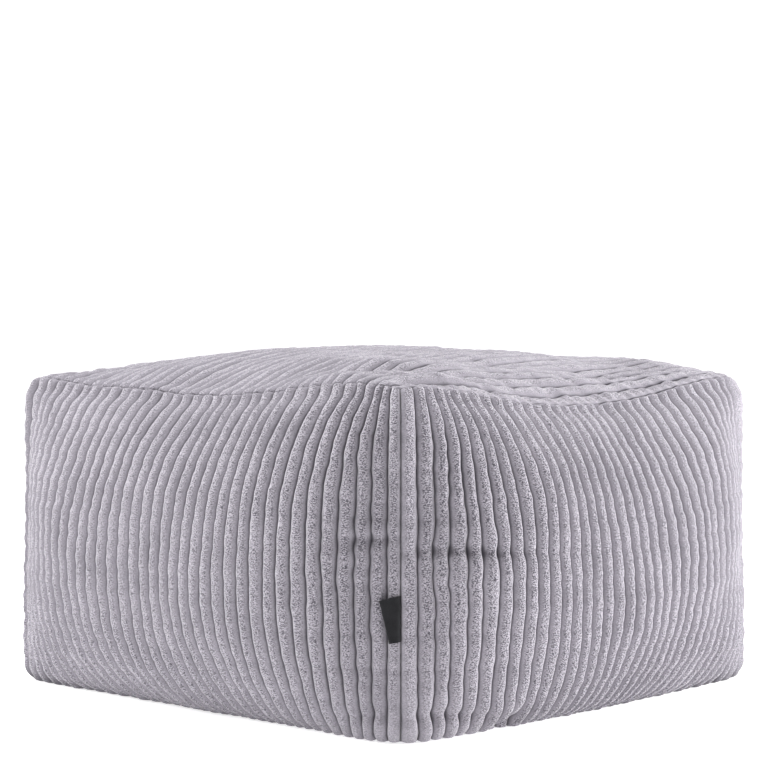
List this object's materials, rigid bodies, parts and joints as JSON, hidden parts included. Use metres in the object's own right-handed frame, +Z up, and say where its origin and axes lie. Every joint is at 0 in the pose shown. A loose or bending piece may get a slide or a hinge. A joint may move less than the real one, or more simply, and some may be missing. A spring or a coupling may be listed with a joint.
{
  "type": "square floor pouf",
  "caption": "Square floor pouf in wide-wale cord: a filled body with bulging ribbed sides, a low crowned top, drawn-in seams and a bare side tab",
  "frame": {"origin": "middle of the flat underside, on the surface it rests on", "axes": "+Z up; +X and -Y are the middles of the two side panels that show, and the corner seam with the tab is at +X -Y; the top's wales run along Y"},
  "size_m": [0.6478, 0.6458, 0.3435],
  "materials": {
    "cord": "soft matt pile, cool light grey",
    "tab_cloth": "smooth woven tape, near black"
  },
  "bodies": {
    "root": {"pouf": "cord", "tab": "tab_cloth"}
  },
  "joints": []
}
